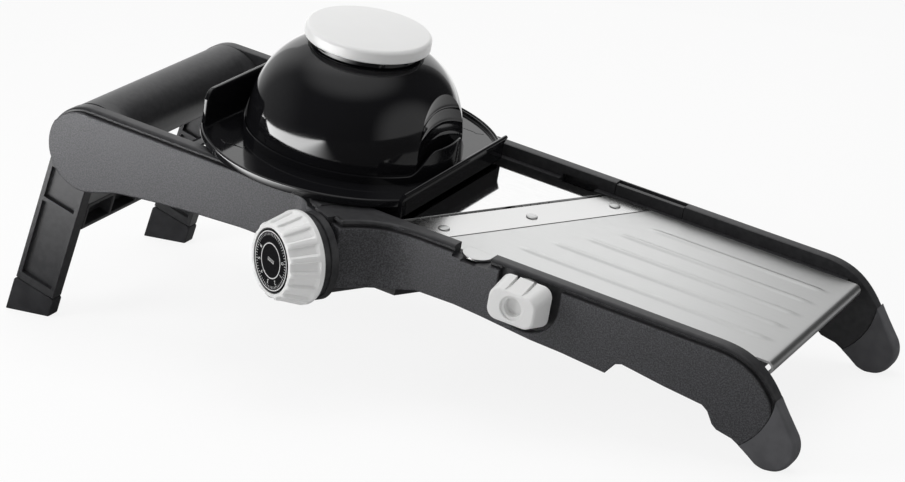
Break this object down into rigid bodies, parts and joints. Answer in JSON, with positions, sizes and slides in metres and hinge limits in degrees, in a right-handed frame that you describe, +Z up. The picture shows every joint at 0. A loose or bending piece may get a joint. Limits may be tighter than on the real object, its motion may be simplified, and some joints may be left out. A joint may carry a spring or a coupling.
{
  "type": "mandoline slicer",
  "caption": "a black mandoline slicer with a white thickness dial, a folding stand and a domed food holder",
  "frame": {"origin": "on the table, under the middle of the slicer's box", "axes": "+X towards the low end with the soft feet, +Y away from the dial's side, +Z up"},
  "size_m": [0.3978, 0.1758, 0.1477],
  "materials": {
    "grained_plastic": "black moulded plastic with a fine grain",
    "gloss_black": "black moulded plastic, polished",
    "white_plastic": "white moulded plastic, satin",
    "soft_grey": "grey soft moulded rubber, matt",
    "soft_black": "dark soft moulded rubber, matt",
    "polished_steel": "stainless steel, polished",
    "satin_steel": "stainless steel, satin"
  },
  "bodies": {
    "root": {"near_rail": "grained_plastic", "far_rail": "grained_plastic", "handle_grip": "grained_plastic", "rear_crossbar": "grained_plastic", "front_crossbar": "grained_plastic", "blade_beam": "grained_plastic", "dial_housing": "grained_plastic", "dial_collar": "grained_plastic", "far_shaft_bearing": "grained_plastic", "far_bearing_cover": "grained_plastic", "near_front_foot": "soft_grey", "far_front_foot": "soft_grey", "near_pivot_pin": "satin_steel", "far_pivot_pin": "satin_steel"},
    "stand": {"near_leg": "grained_plastic", "far_leg": "grained_plastic", "stand_crossbar": "grained_plastic", "near_leg_boot": "soft_black", "far_leg_boot": "soft_black"},
    "dial": {"dial_knob": "white_plastic", "dial_face": "gloss_black", "dial_screw": "satin_steel", "dial_shaft": "satin_steel", "near_cam": "white_plastic", "far_cam": "white_plastic"},
    "ramp": {"infeed_plate": "polished_steel", "ramp_carrier": "grained_plastic"},
    "insert": {"outfeed_plate": "satin_steel", "blade": "polished_steel", "blade_carrier": "grained_plastic", "blade_rivet_1": "satin_steel", "blade_rivet_2": "satin_steel", "blade_rivet_3": "satin_steel"},
    "selector": {"selector_knob": "white_plastic", "selector_shaft": "satin_steel"},
    "comb": {"comb_carrier": "grained_plastic", "julienne_blade": "polished_steel"},
    "holder": {"holder_base": "gloss_black", "holder_dome": "gloss_black"},
    "plunger": {"pusher_cap": "white_plastic", "pusher_stem": "gloss_black", "pusher_plate": "gloss_black"}
  },
  "joints": [
    {"name": "stand_fold", "type": "hinge", "parent": "root", "child": "stand", "pos_m": [-0.15434, 0.01493, 0.08468], "axis": [0, -1, 0], "range_deg": [0, 100]},
    {"name": "dial_turn", "type": "hinge", "parent": "root", "child": "dial", "pos_m": [-0.01083, -0.04867, 0.06161], "axis": [-0.4621, -0.8829, 0.0831], "range_deg": [-37, 205]},
    {"name": "infeed_lift", "type": "slide", "parent": "root", "child": "ramp", "axis": [0.1771, 0, 0.9842], "range_m": [-0.0051, 0.0009]},
    {"name": "insert_lift", "type": "hinge", "parent": "root", "child": "insert", "pos_m": [0.17989, 0.01493, 0.03918], "axis": [0, 1, 0], "range_deg": [0, 20]},
    {"name": "selector_turn", "type": "hinge", "parent": "root", "child": "selector", "pos_m": [0.07592, -0.04867, 0.05484], "axis": [0, -1, 0], "range_deg": [0, 180]},
    {"name": "comb_lift", "type": "slide", "parent": "root", "child": "comb", "axis": [0.1771, 0, 0.9842], "range_m": [0, 0.0036]},
    {"name": "holder_slide", "type": "slide", "parent": "root", "child": "holder", "axis": [-0.9842, 0, 0.1771], "range_m": [-0.14, 0.028]},
    {"name": "plunger_travel", "type": "slide", "parent": "holder", "child": "plunger", "axis": [0.1771, 0, 0.9842], "range_m": [0, 0.024]}
  ],
  "couplings": [
    {"joint": "dial_turn", "follows": "infeed_lift", "rad_per_m": -698.13},
    {"joint": "comb_lift", "follows": "selector_turn", "m_per_rad": 0.0011459}
  ]
}
